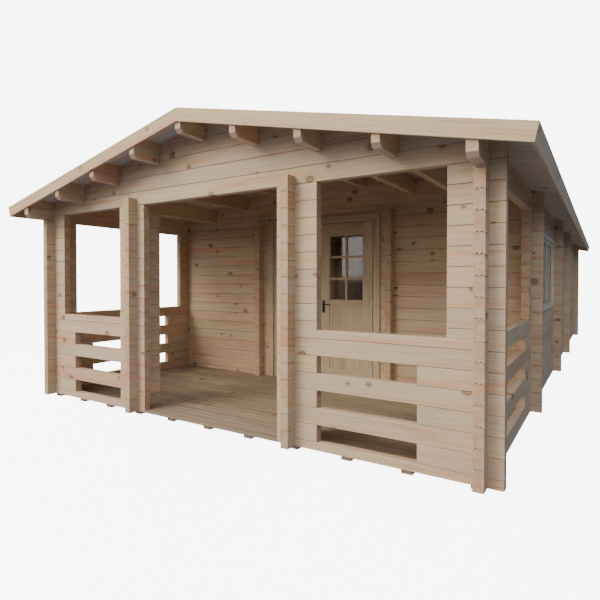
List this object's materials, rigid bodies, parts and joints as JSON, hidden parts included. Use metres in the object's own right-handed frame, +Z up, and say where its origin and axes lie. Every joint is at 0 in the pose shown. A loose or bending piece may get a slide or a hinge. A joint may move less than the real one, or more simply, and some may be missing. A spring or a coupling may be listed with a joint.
{
  "type": "log cabin with veranda",
  "caption": "Wooden log cabin with a low gable roof and a walled, open-fronted veranda whose balustrades are logs with gaps, and a glazed double door behind it.",
  "frame": {"origin": "on the ground at the middle of the plan, level with the undersides of the floor joists", "axes": "+Z is up, the veranda front faces -Y, the ridge runs along Y, and +X is on the right of a person who faces the front"},
  "size_m": [5.755, 11.51, 2.9424],
  "materials": {
    "wall_logs": "planed, unpainted, weathered",
    "roof_timbers": "planed, unpainted",
    "roof_boards": "planed, unpainted",
    "trim_boards": "planed, unpainted",
    "deck_boards": "planed, unpainted",
    "joists": "sawn",
    "joinery": "planed, unpainted",
    "glass": "clear",
    "handle_metal": "dark, satin",
    "hinge_metal": "satin"
  },
  "bodies": {
    "cabin": {"back_wall_gable": "wall_logs", "back_wall_left": "wall_logs", "back_wall_right": "wall_logs", "cross_log_ends": "wall_logs", "door_cross_logs": "wall_logs", "door_frame": "joinery", "door_trim": "joinery", "eave_fascias": "trim_boards", "eave_logs": "roof_timbers", "floor_joists": "joists", "front_corner_left": "wall_logs", "front_corner_right": "wall_logs", "front_fascia": "trim_boards", "front_gable": "wall_logs", "front_post_left": "wall_logs", "front_post_right": "wall_logs", "front_rails": "wall_logs", "hinge_pins": "hinge_metal", "post_cross_logs": "wall_logs", "purlins": "roof_timbers", "rear_bays_left": "wall_logs", "rear_bays_right": "wall_logs", "rear_fascia": "trim_boards", "rear_wall": "wall_logs", "roof_boards_left": "roof_boards", "roof_boards_right": "roof_boards", "room_floor": "deck_boards", "veranda_deck": "deck_boards", "veranda_side_back_left": "wall_logs", "veranda_side_back_right": "wall_logs", "veranda_side_front_left": "wall_logs", "veranda_side_front_right": "wall_logs", "veranda_side_rails": "wall_logs", "window_bay_left": "wall_logs", "window_bay_right": "wall_logs", "window_frames": "joinery", "window_glass": "glass"},
    "right_leaf": {"door_leaf_right": "joinery", "door_glass_right": "glass", "hinge_knuckles_right": "hinge_metal", "handle_plates": "handle_metal"},
    "left_leaf": {"door_leaf_left": "joinery", "door_glass_left": "glass", "hinge_knuckles_left": "hinge_metal"},
    "lever": {"door_lever": "handle_metal"}
  },
  "joints": [
    {"name": "right_leaf_hinge", "type": "hinge", "parent": "cabin", "child": "right_leaf", "pos_m": [0.7595, -3.2219, 0], "axis": [0, 0, 1], "range_deg": [0, 100]},
    {"name": "left_leaf_hinge", "type": "hinge", "parent": "cabin", "child": "left_leaf", "pos_m": [-0.7595, -3.2219, 0], "axis": [0, 0, -1], "range_deg": [0, 100]},
    {"name": "lever_turn", "type": "hinge", "parent": "right_leaf", "child": "lever", "pos_m": [0.0465, -3.193, 1.11], "axis": [0, 1, 0], "range_deg": [0, 40], "stiffness_Nm_per_rad": 2, "springref_deg": -14.32}
  ]
}
